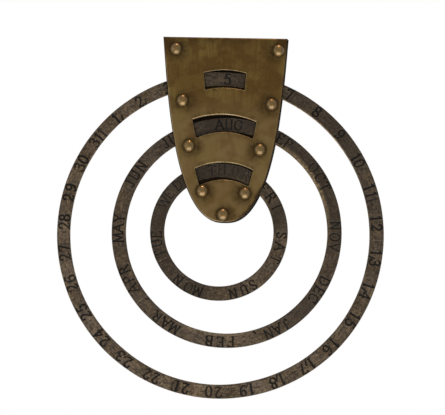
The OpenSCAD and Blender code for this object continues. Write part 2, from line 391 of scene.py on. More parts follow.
def ripple(x, y, shortest, longest, seed, waves=28):
    # sum of sines in random directions with wavelengths between two limits, scaled to about -1..1
    draw = np.random.default_rng(seed)
    way = draw.uniform(0, 2 * np.pi, waves)
    turns = 2 * np.pi / np.exp(draw.uniform(np.log(shortest), np.log(longest), waves))
    phase = draw.uniform(0, 2 * np.pi, waves)
    total = np.zeros(np.broadcast(x, y).shape)
    for k in range(waves):
        total += np.sin(turns[k] * (np.cos(way[k]) * x + np.sin(way[k]) * y) + phase[k])
    return total / math.sqrt(waves * 2.0)


def eased(value, low, high):
    # 0 below low, 1 above high, smooth between
    share = np.clip((value - low) / (high - low), 0, 1)
    return share * share * (3 - 2 * share)


def bell(gap, spread, power=2):
    # the exponential of minus a power of the gap over the spread
    return np.exp(-(gap / spread) ** power)


def mark(away, amount, start, reach, power=2):
    # an amount that holds out to the start and falls as a bell beyond it
    return amount * bell(np.clip(away - start, 0, None), reach, power)


def atLeast(least, share):
    # a share from 0 to 1 taken to least..1
    return least + (1 - least) * share


def patches(x, y, numbers, seed=0):
    # a ripple eased to 0..1: shortest and longest wave, own seed, and the values that become 0 and 1
    shortest, longest, own, low, high = numbers
    return eased(ripple(x, y, shortest, longest, seed + own), low, high)


def shares(**fields):
    # fields held between nothing and all
    return {key: np.clip(values, 0, 1) for key, values in fields.items()}


def tubeFaces(index):
    # a face between neighbours in a grid of point numbers, whose columns close up into a tube
    upper, lower = index[:-1], index[1:]
    quads = np.stack([upper, lower, np.roll(lower, -1, axis=1), np.roll(upper, -1, axis=1)], -1)
    return quads.reshape(-1, 4)


# width, then strokes, in hundredths of the height: a bar is straight, a foot has a serif at its first
# point, a stem at both ends, and a bow is a smooth curve
characters = {
    "A": "80 / foot 2,0 40,100 / foot 80,0 40,100 / bar 16,36 66,36",
    "B": "66 / stem 10,0 10,100 / bow 10,100 42,98 57,84 54,62 10,53 / bow 10,53 48,51 64,30 56,6 10,0",
    "C": "72 / bow 68,80 54,97 32,98 8,76 3,46 14,12 38,0 60,6 71,22 / bar 69,74 69,96",
    "D": "76 / stem 10,0 10,100 / bow 10,100 44,97 70,76 72,34 50,4 10,0",
    "E": "64 / stem 10,0 10,100 / bar 10,100 60,100 60,86 / bar 10,52 46,52 / bar 10,0 62,0 62,16",
    "F": "62 / stem 10,0 10,100 / bar 10,100 60,100 60,86 / bar 10,52 46,52",
    "G": "78 / bow 68,80 54,97 32,98 8,76 3,46 14,12 38,0 60,5 70,14 / bar 70,10 70,44 / bar 52,44 80,44"
         " / bar 68,74 68,96",
    "H": "82 / stem 12,0 12,100 / stem 70,0 70,100 / bar 12,52 70,52",
    "I": "30 / stem 15,0 15,100",
    "J": "48 / foot 36,100 36,22 / bow 36,26 32,5 14,0 3,16",
    "L": "62 / stem 10,0 10,100 / bar 10,0 60,0 60,18",
    "M": "94 / foot 8,0 14,100 / bar 14,100 47,10 80,100 / foot 86,0 80,100",
    "N": "82 / stem 10,0 10,100 / bar 10,100 70,0 / foot 70,100 70,0",
    "O": "76 / bow 38,100 66,84 74,50 66,16 38,0 10,16 2,50 10,84 38,100",
    "P": "62 / stem 10,0 10,100 / bow 10,100 46,97 60,76 48,52 10,46",
    "R": "72 / stem 10,0 10,100 / bow 10,100 44,97 57,78 46,56 10,50 / foot 70,0 34,50",
    "S": "60 / bow 55,80 42,97 18,97 8,74 30,53 54,32 48,5 22,1 5,20",
    "T": "72 / foot 36,0 36,100 / bar 3,84 3,100 69,100 69,84",
    "U": "76 / foot 12,100 12,30 / foot 66,100 66,30 / bow 12,32 18,8 38,0 60,8 66,32",
    "V": "76 / foot 2,100 38,0 / foot 74,100 38,0",
    "W": "106 / foot 2,100 30,0 / bar 30,0 53,94 78,0 / foot 104,100 78,0",
    "Y": "74 / foot 2,100 37,46 / foot 72,100 37,46 / foot 37,0 37,46",
    "0": "56 / bow 28,100 48,84 54,50 48,16 28,0 8,16 2,50 8,84 28,100",
    "1": "40 / bar 6,82 24,100 / foot 24,0 24,100",
    "2": "60 / bow 7,74 14,94 34,99 52,82 46,52 6,3 / bow 6,4 20,8 42,0 58,12",
    "3": "58 / bow 6,84 24,100 48,88 44,62 22,54 / bow 22,54 50,46 54,14 28,0 4,14",
    "4": "62 / foot 42,0 42,100 / bar 42,100 3,30 60,30",
    "5": "58 / bar 52,98 14,98 11,55 / bow 11,55 34,62 54,42 50,12 26,0 4,14",
    "6": "58 / bow 50,92 30,99 8,72 4,32 16,4 36,2 53,22 46,48 26,55 6,38",
    "7": "56 / bar 4,84 5,97 53,97 24,0",
    "8": "58 / bow 28,53 10,66 11,90 28,100 46,90 47,66 28,53"
         " / bow 28,53 5,38 6,12 28,0 50,12 52,38 28,53",
    "9": "58 / bow 8,8 28,1 50,28 54,68 42,96 22,98 5,78 12,52 32,45 52,62",
    "slip": "20 / bar 0,0 20,52",
    "dot": "10 / bar 2,42 8,58",
    "nick": "30 / bar 0,50 12,28 30,36",
}

penShape = {
    "nib": 22.0,  # degrees that the pen's edge is turned; sets which strokes are thick and which thin
    "thin": 0.42,  # thinnest stroke as a share of the thickest
    "serif": 0.11,  # half a serif's length, in heights
    "serifShare": 0.45,  # a serif's thickness, as a share of the thickest stroke
    "curveSteps": 5,  # straight pieces to each span of a bow
}


def smoothLine(known):
    # Catmull-Rom curve through the points: each span is a cubic set by its two ends and their neighbours
    before = known[:1] * 2 - known[1:2]
    after = known[-1:] * 2 - known[-2:-1]
    if np.allclose(known[0], known[-1]):
        before, after = known[-2:-1], known[1:2]
    line = np.concatenate([before, known, after])
    share = np.arange(penShape["curveSteps"])[None, :, None] / penShape["curveSteps"]
    a, b, c, d = (line[k:len(line) - 3 + k, None, :] for k in range(4))
    curve = 0.5 * (2 * b + (c - a) * share + (2 * a - 5 * b + 4 * c - d) * share ** 2
                   + (3 * b - a - 3 * c + d) * share ** 3)
    return np.concatenate([curve.reshape(-1, 2), known[-1:]])


def strokesOf(character):
    # rows of x0, y0, x1, y1 and thickness share, one for each straight piece of the character
    pen = penShape
    width, *strokes = characters[character].split(" / ")
    rows = []
    for stroke in strokes:
        kind, *points = stroke.split()
        line = np.array([point.split(",") for point in points], float) / 100
        ends = {"foot": line[:1], "stem": line[[0, -1]]}.get(kind, [])
        if kind == "bow":
            line = smoothLine(line)
        step = np.diff(line, axis=0)
        slant = np.abs(np.sin(np.arctan2(step[:, 1], step[:, 0]) - math.radians(pen["nib"])))
        rows.append(np.column_stack([line[:-1], line[1:], pen["thin"] + (1 - pen["thin"]) * slant]))
        for x, y in ends:
            rows.append(np.array([[x - pen["serif"], y, x + pen["serif"], y, pen["serifShare"]]]))
    rows = np.concatenate(rows)
    rows[:, [0, 2]] -= float(width) / 200
    rows[:, [1, 3]] -= 0.5
    return rows


def distanceToStrokes(x, y, rows, fullWidth, height):
    # distance from each point to the nearest stroke's edge, less than nothing inside the stroke
    x0, y0, x1, y1 = (rows[:, k][None, :] * height for k in range(4))
    half = rows[:, 4][None, :] * fullWidth / 2
    dx, dy = x1 - x0, y1 - y0
    along = ((x[:, None] - x0) * dx + (y[:, None] - y0) * dy) / np.maximum(dx ** 2 + dy ** 2, 1e-9)
    along = np.clip(along, 0, 1)
    gap = np.hypot(x[:, None] - x0 - along * dx, y[:, None] - y0 - along * dy) - half
    return gap.min(axis=1)


ringShape = {
    "width": 11.0,
    "coarseStep": 1.5,  # mm between columns where nothing is stamped
    "angleSteps": 14400,  # steps round the ring in which the columns are counted
    "fineReach": 0.48,  # how far from a character the columns stay close together, in heights
    "fineFade": 1.5,  # and where they are fully apart, in those reaches
    "strokeReach": 0.95,  # no stroke marks the face further than this from its middle, in heights
    "edge": [0.0, 0.07, 0.2, 0.4, 0.68, 1.0],  # rows of points beside each side of the face, mm in
    "faceFrom": 1.28,
    "faceRows": 37,
    "wall": [0.3, 0.55, 0.8],  # rows up each side, as shares of its height
    "back": [11.0, 10.8, 10.4, 7.7, 5.5, 3.3, 0.6, 0.2, 0.0],
    "cutDepth": 0.62,
    "cutEdge": (-0.256, 0.16),  # a stroke's sloping side, from its foot to the face, mm
    "burrHeight": 0.07,
    "burr": (0.36, 0.2),  # how far from the stroke it stands, and its width
    "sootReach": 0.40,  # how far the black in the strokes has spread over the face
    "edgeRound": 0.45,
    "roundStray": 0.5,
    "roundWaves": (9, 40),  # mm
    "roundLimits": (0.22, 0.9),
    "backRound": 0.5,
    "wobble": 0.07,  # how far the bar's sides stray inwards, mm
    "dents": 0.10,  # depth of the hammered waves in the face
    "flatSide": 0.8,  # mm beside each side where the face's dents and strokes fade out
    "highest": 0.1,  # nothing stands higher over the face
    # how unevenly the characters were struck: turn in degrees, shift in mm, depth and lean
    "handTurn": 3.0,
    "handShift": 0.2,
    "handDepth": (0.92, 0.22),
    "handLean": 0.22,
    # ripples: shortest and longest wave in mm, own seed, and the values that become 0 and 1
    "innerWander": (18, 60, 1, -1.2, 1.4),
    "outerWander": (16, 70, 2, -1.2, 1.4),
    "hammered": (4.5, 16, 5, -1.3, 1.3),
    "rubbedPatches": (5, 30, 6, -0.3, 1.0),
    "finePatches": (1.6, 5, 7, -0.6, 0.9),
    "jointPatches": (3, 9, 5, -1.4, 0.4),
    "groove": (0.35, 0.35),  # the brazed joint's groove: depth and width
    "bead": (0.08, 0.5, 0.9),  # the bead beside it: height, width and distance
    "rimShade": (0.35, 0.7),  # painted shade beside both edges: amount and reach
    # worn bright: amount and reach in from the edges, and the share at the least and added by patches
    "innerRub": (1.0, 0.45),
    "outerRub": (0.8, 0.4),
    "rubShare": (0.02, 0.22),
    "rubFade": (0.4, 0.3, 1.1),  # a bright patch holds to a share of its reach and a bit, then fades
    "rubLeast": 0.35,
    "burrRub": 0.18,
    "beadRub": 0.30,
    "sideRub": 0.12,
    "blackFrom": (0.12, 0.75),  # how deep a stroke starts to look black, and where it is all black
    "blackGroove": 0.6,
}

# the shades near 0 degrees are painted shade on the face that sits under the window
# labels: each character's angle in degrees clockwise from the top, and the force of a faint label
# strays: doubled and slipped strikes as character, angle, shift outwards in mm, force
# shade: how far the whole ring is darkened; shades: where it is darker or paler, as angle, spread and amount
# rubbed: bright patches as angle, spread, reach across and amount
# step and thin: where the inner edge is rounder or worn away, as angle, spread and mm
dateRing = {
    "node": "date_ring",
    "height": 8.1,
    "stroke": 1.45,
    "out": 0.35,
    "seed": 31,
    "fineStep": 0.37,  # mm between columns where something is stamped
    "shade": 0.32,
    "labels": [
        ("1", (317.2,)), ("2", (327.8,)), ("3", (339.2,)), ("4", (350.3,)), ("5", (1.65,)), ("6", (13.4,)),
        ("7", (25.0,)), ("8", (37.0,)), ("9", (48.7,)), ("10", (58.8, 61.5)), ("11", (70.9, 73.7)),
        ("12", (82.6, 86.0)), ("13", (95.2, 98.9)), ("14", (107.6, 111.5)), ("15", (119.7, 123.0)),
        ("16", (132.2, 135.9)), ("17", (143.4, 147.0)), ("18", (155.7, 159.2)), ("19", (167.5, 170.6)),
        ("20", (179.7, 183.3)), ("21", (191.9, 195.0)), ("22", (203.4, 206.8)), ("23", (215.0, 218.7)),
        ("24", (226.5, 230.2)), ("25", (238.1, 241.4)), ("26", (249.5, 253.0)), ("27", (261.1, 264.3)),
        ("28", (272.6, 275.6)), ("29", (283.0, 286.8)), ("30", (294.9, 298.1)), ("31", (305.4, 308.0)),
    ],
    "strays": [
        ("1", 75.6, -0.6, 0.45), ("slip", 97.1, -0.9, 0.7), ("slip", 109.6, -0.5, 0.8),
        ("slip", 121.6, -1.2, 0.5), ("slip", 134.0, -1.0, 0.5), ("slip", 145.1, -1.1, 0.8),
        ("slip", 157.4, -1.0, 0.7), ("slip", 169.0, -1.2, 0.5), ("0", 196.0, 0.0, 0.5),
        ("slip", 216.9, -1.0, 0.6), ("slip", 220.4, 0.9, 0.5), ("1", 265.9, 0.0, 0.3),
        ("slip", 296.5, 0.0, 0.6), ("1", 310.0, 0.0, 0.5), ("slip", 319.2, -1.0, 0.7),
        ("slip", 329.6, -1.8, 0.6), ("7", 26.2, 0.5, 0.35),
    ],
    "shades": [(3.0, 16.0, 0.45), (45.0, 24.0, 0.62), (78.0, 18.0, 0.20), (115.0, 26.0, 0.14),
               (185.0, 50.0, -0.30), (225.0, 16.0, -0.12), (300.0, 46.0, -0.50)],
    "rubbed": [(48.0, 16.0, 0.0, 1.0), (20.0, 30.0, 0.0, 0.5)],
    "step": [(250.0, 60.0, 1.3), (180.0, 70.0, 1.1)],
    "thin": [(275.0, 50.0, 0.85), (195.0, 22.0, 0.4), (330.0, 20.0, 0.5)],
    "seam": 90.2,
}

monthRing = {
    "node": "month_ring",
    "height": 7.5,
    "stroke": 1.15,
    "out": 0.6,
    "seed": 12,
    "fineStep": 0.30,
    "shade": 0.42,
    "labels": [
        ("JAN", (145.6, 151.1, 156.3)), ("FEB", (176.8, 182.3, 188.2)), ("MAR", (207.8, 213.3, 218.9)),
        ("APR", (238.3, 243.9, 249.4)), ("MAY", (266.6, 271.7, 276.9)), ("JUN", (296.1, 301.3, 307.1)),
        ("JUL", (324.7, 329.5, 334.6)), ("AUG", (355.2, 0.2, 5.3), 0.9), ("SEP", (23.3, 28.6, 33.6)),
        ("OCT", (51.9, 58.1, 63.7)), ("NOV", (84.9, 91.0, 96.3)), ("DEC", (115.2, 120.9, 125.7)),
    ],
    "strays": [
        ("dot", 229.4, -4.6, 1.0), ("nick", 163.8, -3.6, 0.8), ("N", 85.4, 0.4, 0.35),
        ("M", 208.2, 0.3, 0.35), ("J", 297.0, 0.3, 0.4),
    ],
    "shades": [(355.0, 20.0, 0.55), (45.0, 30.0, 0.72), (90.0, 20.0, 0.32), (135.0, 16.0, 0.55),
               (180.0, 30.0, -0.18), (225.0, 20.0, 0.22), (265.0, 24.0, 0.06), (315.0, 20.0, 0.14)],
    "rubbed": [(55.0, 26.0, 3.0, 0.75), (185.0, 20.0, 2.0, 0.3)],
    "step": [(235.0, 30.0, 1.0)],
    "thin": [],
    "seam": 230.4,
}

weekdayRing = {
    "node": "weekday_ring",
    "height": 7.3,
    "stroke": 1.0,
    "out": 0.8,
    "seed": 7,
    "fineStep": 0.28,
    "shade": 0.47,
    "labels": [
        ("MON", (198.9, 208.0, 219.8)), ("TUE", (249.2, 258.9, 266.9), 0.8),
        ("WED", (297.6, 306.4, 317.9), 0.6), ("THUR", (352.4, 1.8, 14.0, 24.4), 0.5),
        ("FRI", (44.2, 55.3, 65.4)), ("SAT", (92.0, 102.4, 114.5)), ("SUN", (146.0, 155.3, 166.1)),
    ],
    "strays": [("T", 353.2, 0.4, 0.4), ("U", 259.9, 0.3, 0.4), ("N", 167.0, -0.4, 0.35)],
    "shades": [(5.0, 18.0, 0.70), (72.0, 14.0, 0.65), (107.0, 14.0, -0.18), (150.0, 24.0, -0.18),
               (202.0, 18.0, 0.50), (245.0, 20.0, 0.40), (285.0, 20.0, 0.62), (330.0, 22.0, 0.55)],
    "rubbed": [(38.0, 20.0, 2.0, 0.4)],
    "step": [(200.0, 60.0, 0.9)],
    "thin": [],
    "seam": 242.0,
}


def angleGap(angle, centre):
    # difference of two angles in degrees, from -180 to 180
    return (angle - centre + 180.0) % 360.0 - 180.0


def characterPlaces(ring):
    # every character's own angle, turn and shift: each was struck with its own punch, by hand
    shape = ringShape
    draw = np.random.default_rng(ring["seed"])
    struck = [(character, angle, 0.0, force[0] if force else 1.0)
              for label, angles, *force in ring["labels"] for character, angle in zip(label, angles)]
    places = []
    for character, angle, up, force in struck + ring["strays"]:
        turn, stray, deep, lean = draw.uniform(-1, 1, 4)
        places.append({
            "character": character,
            "angle": angle,
            "turn": math.radians(shape["handTurn"] * turn),
            "up": ring["out"] + up + shape["handShift"] * stray,
            "depth": force * (shape["handDepth"][0] + shape["handDepth"][1] * deep),
            "lean": shape["handLean"] * lean * force,
        })
    return places


def ringColumns(ring, places, middle):
    # column angles in degrees, close together under the characters and apart between them
    fine = np.linspace(0, 360, ringShape["angleSteps"] + 1)
    near = np.abs(angleGap(fine, ring["seam"]))
    for place in places:
        near = np.minimum(near, np.abs(angleGap(fine, place["angle"])))
    reach = math.degrees(ring["height"] * ringShape["fineReach"] / middle)
    share = 1 - eased(near, reach, reach * ringShape["fineFade"])
    perDegree = math.radians(middle) * (share / ring["fineStep"] + (1 - share) / ringShape["coarseStep"])
    count = np.concatenate([[0], np.cumsum(perDegree[:-1] * np.diff(fine))])
    columns = int(round(count[-1]))
    return np.interp(np.arange(columns) / columns * count[-1], count, fine)


def roundDrop(fromEdge, radius):
    # how far a rounded edge has fallen away from the face, at a distance in from the side
    inside = np.clip(radius - fromEdge, 0, radius)
    return radius - np.sqrt(radius ** 2 - inside ** 2)


def stampCharacter(place, ring, radius, gapAngle, middle):
    # one character's cut, soot and burr, at points given by their radius and their angle from it
    shape, height = ringShape, ring["height"]
    x = radius * np.sin(gapAngle)
    y = radius * np.cos(gapAngle) - middle - place["up"]
    cosine, sine = math.cos(place["turn"]), math.sin(place["turn"])
    x, y = x * cosine + y * sine, y * cosine - x * sine
    gap = distanceToStrokes(x.ravel(), y.ravel(), strokesOf(place["character"]), ring["stroke"], height)
    gap = gap.reshape(x.shape)
    tilt = place["depth"] + place["lean"] * x / height * 2
    cut = 1 - eased(gap, *shape["cutEdge"])
    soot = mark(gap, 1.0, 0.0, shape["sootReach"])
    stands, wide = shape["burr"]
    return cut * tilt, soot * tilt, bell(gap - stands, wide) * place["depth"]


def makeRing(ring, material):
    # the bar's section (across, depth) carried round a circle; the strokes are pressed into its face
    low, high = nodeBox(ring["node"])
    centre = hingePlace[ring["node"]]
    shape, seed, width = ringShape, ring["seed"], ringShape["width"]
    outer, thick = (high[0] - low[0]) / 2, high[1] - low[1]
    inner, middle = outer - width, outer - width / 2
    places = characterPlaces(ring)
    degrees = ringColumns(ring, places, middle)
    angle = np.radians(degrees)[:, None]

    def nearTo(place, spread, power=2):
        return bell(angleGap(degrees, place)[:, None], spread, power)

    # the section: over the face, down the outer side, back over the rear and up the inner side
    edge, wall, back = (np.array(shape[key]) for key in ("edge", "wall", "back"))
    face = np.linspace(shape["faceFrom"], width - shape["faceFrom"], shape["faceRows"])
    across = np.concatenate([edge, face, width - edge[::-1]])
    q = np.concatenate([across, np.full(len(wall), width), back, np.zeros(len(wall))])[None, :]
    isFace = np.arange(q.shape[1])[None, :] < len(across)

    # where the bar's own edges wander, always inwards of the CAD ring, and how round they are
    x, z = middle * np.sin(angle), middle * np.cos(angle)
    innerWander, outerWander = (shape["wobble"] * patches(x, z, shape[key], seed)
                                for key in ("innerWander", "outerWander"))
    innerRound, outerRound = (
        np.clip(shape["edgeRound"] * (1 + shape["roundStray"] * waves), *shape["roundLimits"])
        for waves in (ripple(x, z, *shape["roundWaves"], seed + own) for own in (3, 4))
    )
    for place, spread, loss in ring["thin"]:
        innerWander = innerWander + loss * nearTo(place, spread, 4)
    for place, spread, size in ring["step"]:
        innerRound = innerRound + (size - innerRound) * nearTo(place, spread, 4)

    backDepth = thick - roundDrop(back, shape["backRound"]) - roundDrop(width - back, shape["backRound"])
    wallEnd = thick - shape["backRound"]
    total = np.concatenate([
        roundDrop(across[None, :], innerRound) + roundDrop(width - across[None, :], outerRound),
        outerRound + (wallEnd - outerRound) * wall[None, :],
        np.broadcast_to(backDepth, (len(angle), len(back))),
        innerRound + (wallEnd - innerRound) * wall[None, ::-1],
    ], axis=1)
    radius = inner + innerWander + q / width * (width - innerWander - outerWander)
    x, z = radius * np.sin(angle), radius * np.cos(angle)
    onFace = isFace * eased(q, 0.0, shape["flatSide"]) * eased(width - q, 0.0, shape["flatSide"])

    # hammered waves, then the stamped characters with their burrs
    total = total + shape["dents"] * patches(x, z, shape["hammered"], seed) * onFace
    recess, soot, burr = (np.zeros_like(total) for _ in range(3))
    for place in places:
        gapAngle = np.radians(angleGap(degrees, place["angle"]))
        chosen = np.nonzero(np.abs(gapAngle) * middle < ring["height"] * shape["strokeReach"])[0]
        cells = np.ix_(chosen, np.arange(len(across)))
        struck = stampCharacter(place, ring, radius[cells], gapAngle[chosen][:, None], middle)
        for field, values in zip((recess, soot, burr), struck):
            field[cells] = np.maximum(field[cells], values)
    burr = burr * (1 - np.clip(recess, 0, 1))
    total = total + (shape["cutDepth"] * recess - shape["burrHeight"] * burr) * onFace
    total = np.maximum(total, -shape["highest"] * isFace)

    # the brazed joint in the bar: a fine groove with a slight bead beside it
    joint = angleGap(degrees, ring["seam"])[:, None] * math.radians(1) * middle
    grooveDepth, grooveWidth = shape["groove"]
    beadHeight, beadWidth, beadPlace = shape["bead"]
    groove = bell(joint, grooveWidth) * patches(x, z, shape["jointPatches"])
    bead = bell(joint - beadPlace, beadWidth)
    total = total + (grooveDepth * groove - beadHeight * bead) * isFace

    # rubbed edges and patches, and the darkening, with painted shade beside the edges, for the finish
    fine = patches(x, z, shape["finePatches"], seed)
    (inAmount, inReach), (outAmount, outReach) = shape["innerRub"], shape["outerRub"]
    least, more = shape["rubShare"]
    wear = inAmount * bell(q, inReach) + outAmount * bell(width - q, outReach)
    wear = wear * (least + more * patches(x, z, shape["rubbedPatches"], seed))
    wear = wear + shape["burrRub"] * burr * fine
    held, start, end = shape["rubFade"]
    for place, spread, reach, amount in ring["rubbed"]:
        within = 1 - eased(q, reach * held + start, reach + end)
        wear = wear + amount * nearTo(place, spread) * within * atLeast(shape["rubLeast"], fine)
    wear = wear + shape["beadRub"] * bead * isFace * fine
    isSide = ((q <= 0) | (q >= width)) & ~isFace
    wear = np.where(isSide, shape["sideRub"] * fine, wear)
    # darkening over the whole ring and in stretches round it, with painted shade under the window near 0
    # degrees
    shade = np.full_like(total, ring["shade"])
    for place, spread, amount in ring["shades"]:
        shade = shade + amount * nearTo(place, spread)
    # painted shade along both edges of the face
    amount, reach = shape["rimShade"]
    shade = shade + amount * bell(q, reach) + amount * bell(width - q, reach)
    recess = eased(recess, *shape["blackFrom"]) + shape["blackGroove"] * groove * isFace
    fields = shares(recess=recess, wear=wear, soot=soot * isFace, shade=shade)
    fields.update(across=q + 0 * total, sine=np.sin(angle) + 0 * total, cosine=np.cos(angle) + 0 * total)

    points = np.stack([centre[0] + x, low[1] + total, centre[2] + z], -1)
    index = np.arange(total.size).reshape(total.shape)
    faces = tubeFaces(np.concatenate([index, index[:1]]))
    node = ring["node"]
    addPiece(node, "stamped", points.reshape(-1, 3), [faces], node, material, fields)


plateShape = {
    "sideDraw": (8.4, 7.0),  # how far the left and the right side draw in for every 100 mm down
    "sideFullness": 3.2,
    "tipBluntness": (2.45, 2.55),
    "curvePoints": 110,
    "edgeStep": 1.2,
    "netStep": 1.5,  # spacing of the points within the face
    "faceDip": 0.14,  # how far the face strays inwards of flat
    "dipFade": (0.3, 1.5),  # depths between which the walls follow it less and less
    "dipPatches": (14, 60, 17, -1.3, 1.3),
    "rivetDip": 0.10,  # hollow that the hammered rivets leave round them
    "rivetDipReach": 7.0,
    "rivetHole": 2.05,  # radius
    "holeSteps": 40,
}

# levels of the front plate's rim: inset and depth, a chamfer with eased corners
rimLevels = [
    (1.17, 0.0), (0.98, 0.01), (0.84, 0.05), (0.68, 0.15), (0.40, 0.42), (0.16, 0.66), (0.05, 0.84),
    (0.0, 1.10), (0.0, 2.1), (0.06, 2.36), (0.25, 2.5),
]

windows = [
    {"ring": "date_ring", "width": 30.3, "height": 12.7, "rise": 1.0, "topRadius": 59.4,
     "lowRadius": 63.9, "sway": -0.6, "crownSway": -0.7, "slant": 4.4, "topBevel": 0.6},
    {"ring": "month_ring", "width": 45.2, "height": 12.5, "rise": 1.9, "topRadius": 65.7,
     "lowRadius": 50.8, "sway": -0.3, "crownSway": -2.0, "slant": 12.0, "topBevel": 0.95},
    {"ring": "weekday_ring", "width": 40.2, "height": 12.3, "rise": 0.0, "topRadius": 48.5,
     "lowRadius": 37.7, "sway": -0.1, "crownSway": -0.9, "slant": 15.4, "topBevel": 0.8},
]

windowShape = {
    "lowBevel": 0.60,
    "endBevel": 0.60,
    "arcSteps": 60,
    "endSteps": 12,
    "filing": 0.10,  # how unevenly the bevels were filed
    "filingWaves": (6, 25),  # mm
    "seed": 300,
    # flare (1 at the face, 0 where the bevel ends) and depth as a share of the plate's thickness,
    # then wear and darkening on the top bevel, and wear and darkening on the others
    # the top bevel's stronger wear is partly painted highlight; the darkening down the walls is painted
    # shade
    "levels": [
        (1.80, 0.00, 0.00, 0.05, 0.00, 0.00),
        (1.35, 0.00, 0.00, 0.15, 0.00, 0.00),
        (1.10, 0.01, 0.36, 0.00, 0.34, 0.00),
        (0.90, 0.05, 0.58, 0.00, 0.46, 0.00),
        (0.55, 0.20, 0.46, 0.15, 0.34, 0.25),
        (0.30, 0.32, 0.14, 0.75, 0.00, 1.00),
        (0.12, 0.45, 0.00, 1.00, 0.00, 1.00),
        (0.00, 0.60, 0.00, 1.00, 0.00, 1.00),
        (0.00, 0.96, 0.00, 1.00, 0.00, 1.00),
        (0.06, 1.00, 0.00, 1.00, 0.00, 1.00),
    ],
}


def outlineLoop():
    # counter-clockwise seen from the front: each half width is a straight taper times a root of one less
    # a power of the depth below the top; no point is so near a corner that the inset loops would cross
    low, high = nodeBox("front_plate")
    top, tall = high[2], high[2] - low[2]
    shape = plateShape
    depth = tall * np.sin(np.linspace(0, np.pi / 2, shape["curvePoints"]))
    closing = np.clip(1 - (depth / tall) ** shape["sideFullness"], 0, 1)
    left, right = (
        np.column_stack([edge - math.copysign(1, edge) * draw * depth / 100, top - depth])
        for edge, draw in zip((low[0], high[0]), shape["sideDraw"])
    )
    left[:, 0] *= closing ** (1 / shape["tipBluntness"][0])
    right[:, 0] *= closing ** (1 / shape["tipBluntness"][1])
    across = np.linspace(high[0], low[0], int((high[0] - low[0]) / shape["edgeStep"]))[2:-2]
    over = np.column_stack([across, np.full(len(across), top)])
    return np.concatenate([left, right[::-1][1:], over])


def insetLoop(loop, inset):
    # the loop drawn in to its left by an inset, with mitred corners
    step = np.roll(loop, -1, axis=0) - loop
    normal = np.column_stack([-step[:, 1], step[:, 0]]) / np.linalg.norm(step, axis=1)[:, None]
    other = np.roll(normal, 1, axis=0)
    mitre = (normal + other) / (1 + (normal * other).sum(1))[:, None]
    return loop + mitre * inset


def onCircle(angle, radius, x=0.0, z=0.0):
    # points at angles clockwise from the top
    return np.column_stack([x + radius * np.sin(angle), z + radius * np.cos(angle)])


def between(first, last, steps):
    # points on the straight line from one point to another, without those two
    return first + (last - first) * np.linspace(0, 1, steps + 2)[1:-1, None]


def flatLoop(loop, y):
    # a loop of x and z set at one depth
    return np.column_stack([loop[:, 0], np.full(len(loop), y), loop[:, 1]])


def levelLoops(loop, levels, frontY):
    # one closed loop of points for each inset and depth
    return np.stack([flatLoop(insetLoop(loop, inset), frontY + depth) for inset, depth in levels])


def lineMeetsCircle(start, way, centre, radius):
    # the upper of the two points where a line crosses a circle
    gap = start - centre
    along = -gap @ way + math.sqrt((gap @ way) ** 2 - gap @ gap + radius ** 2)
    return start + along * way


def arcBetween(first, last, centre, radius, filing, seed):
    # points along a circle from one point to another, strayed outwards and in by a little filing
    turns = [math.atan2(p[0] - centre[0], p[1] - centre[1]) for p in (first, last)]
    angle = np.linspace(turns[0], turns[1], windowShape["arcSteps"])
    stray = ripple(angle * radius, 0.0, *windowShape["filingWaves"], seed)
    reach = radius + filing * stray * np.sin(np.linspace(0, np.pi, len(angle))) ** 0.5
    return onCircle(angle, reach, *centre)


def windowLoops(window, frontY, thick):
    # clockwise seen from the front: over the top arc, down the right end, back under and up the left end
    shape = windowShape
    crown = nodeBox(window["ring"])[1][2] + window["rise"]
    topCentre = np.array([window["crownSway"], crown - window["topRadius"]])
    lowCentre = np.array([window["sway"], crown - window["height"] - window["lowRadius"]])
    bend = 1 / window["topRadius"] + 1 / window["lowRadius"]
    endZ = crown - window["height"] / 2 - (window["width"] / 2) ** 2 / 4 * bend
    slant = math.radians(window["slant"])
    seed = shape["seed"] + int(crown)
    loops = []
    for flare, share in (level[:2] for level in shape["levels"]):
        highR = window["topRadius"] + window["topBevel"] * flare
        lowR = window["lowRadius"] - shape["lowBevel"] * flare
        corners = []
        for side in (-1, 1):
            way = np.array([side * math.sin(slant), math.cos(slant)])
            out = np.array([side * math.cos(slant), -math.sin(slant)])
            start = np.array([window["sway"] + side * window["width"] / 2, endZ])
            start = start + out * shape["endBevel"] * flare
            corners.append((lineMeetsCircle(start, way, topCentre, highR),
                            lineMeetsCircle(start, way, lowCentre, lowR)))
        (topLeft, lowLeft), (topRight, lowRight) = corners
        filing = shape["filing"] * flare
        over = arcBetween(topLeft, topRight, topCentre, highR, filing, seed)
        under = arcBetween(lowRight, lowLeft, lowCentre, lowR, filing, seed + 1)
        right = between(topRight, lowRight, shape["endSteps"])
        left = between(lowLeft, topLeft, shape["endSteps"])
        loops.append(flatLoop(np.concatenate([over, right, under, left]), frontY + share * thick))
    return np.stack(loops)


def isWithin(points, loop):
    # even-odd rule: how many of the loop's edges lie to the right of each point
    a, b = loop, np.roll(loop, -1, axis=0)
    x, z = points[:, :1], points[:, 1:]
    crosses = (a[:, 1] > z) != (b[:, 1] > z)
    rise = np.where(a[:, 1] == b[:, 1], 1e-9, b[:, 1] - a[:, 1])
    meets = a[:, 0] + (z - a[:, 1]) / rise * (b[:, 0] - a[:, 0])
    return (crosses & (x < meets)).sum(axis=1) % 2 == 1


def nearestEdge(points, loop):
    # distance from each point to the nearest of the loop's straight pieces, some 60 pieces at a time
    best = np.full(len(points), 1e9)
    parts = 1 + len(loop) // 60
    for a, b in zip(np.array_split(loop, parts), np.array_split(np.roll(loop, -1, axis=0), parts)):
        way = b - a
        gap = points[:, None, :] - a[None, :, :]
        share = np.clip((gap * way).sum(2) / np.maximum((way * way).sum(1), 1e-12), 0, 1)
        best = np.minimum(best, np.linalg.norm(gap - share[..., None] * way, axis=2).min(axis=1))
    return best


